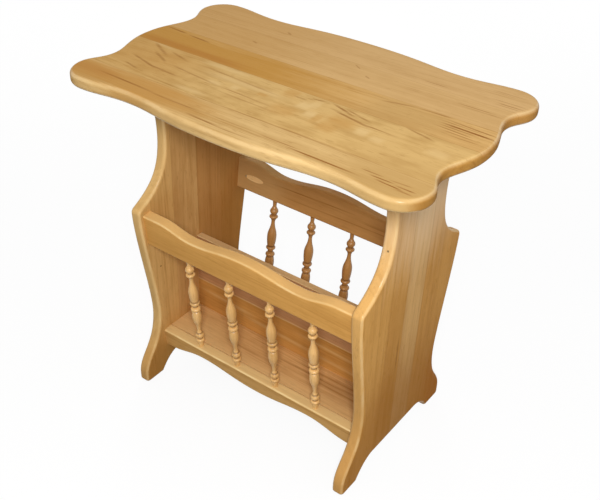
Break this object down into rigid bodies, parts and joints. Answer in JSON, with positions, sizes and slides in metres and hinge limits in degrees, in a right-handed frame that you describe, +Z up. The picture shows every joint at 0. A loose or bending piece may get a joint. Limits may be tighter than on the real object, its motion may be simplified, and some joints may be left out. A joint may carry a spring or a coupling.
{
  "type": "magazine table with rack",
  "caption": "Wooden side table with a wavy-edged top on shaped side panels and a divided spindle magazine rack that flares out below it.",
  "frame": {"origin": "on the floor, below the middle of the table top", "axes": "+X along the length of the top, +Y to the back, +Z up"},
  "size_m": [0.551, 0.3444, 0.538],
  "materials": {
    "top_wood": "satin lacquered oak, glued up from boards, honey coloured",
    "panel_wood": "satin lacquered oak, upright grain",
    "rack_wood": "satin lacquered oak, grain along the board",
    "turned_wood": "satin lacquered turned oak",
    "plug_wood": "satin lacquered, sanded flush",
    "dowel_wood": "bare beech",
    "screw_steel": "zinc plated"
  },
  "bodies": {
    "root": {"apron_dowels": "dowel_wood", "back_apron": "rack_wood", "back_rail": "rack_wood", "back_spindle_1": "turned_wood", "back_spindle_2": "turned_wood", "back_spindle_3": "turned_wood", "back_spindle_4": "turned_wood", "divider_board_1": "rack_wood", "divider_board_2": "rack_wood", "divider_dowels": "dowel_wood", "floor_board_1": "rack_wood", "floor_board_2": "rack_wood", "floor_dowels": "dowel_wood", "front_apron": "rack_wood", "front_rail": "rack_wood", "front_spindle_1": "turned_wood", "front_spindle_2": "turned_wood", "front_spindle_3": "turned_wood", "front_spindle_4": "turned_wood", "head_dowels": "dowel_wood", "left_panel_board_1": "panel_wood", "left_panel_board_2": "panel_wood", "left_panel_board_3": "panel_wood", "left_panel_board_4": "panel_wood", "rail_plugs": "plug_wood", "rail_screws": "screw_steel", "right_panel_board_1": "panel_wood", "right_panel_board_2": "panel_wood", "right_panel_board_3": "panel_wood", "right_panel_board_4": "panel_wood", "top_board_1": "top_wood", "top_board_2": "top_wood", "top_board_3": "top_wood", "top_board_4": "top_wood", "top_board_5": "top_wood"}
  },
  "joints": []
}
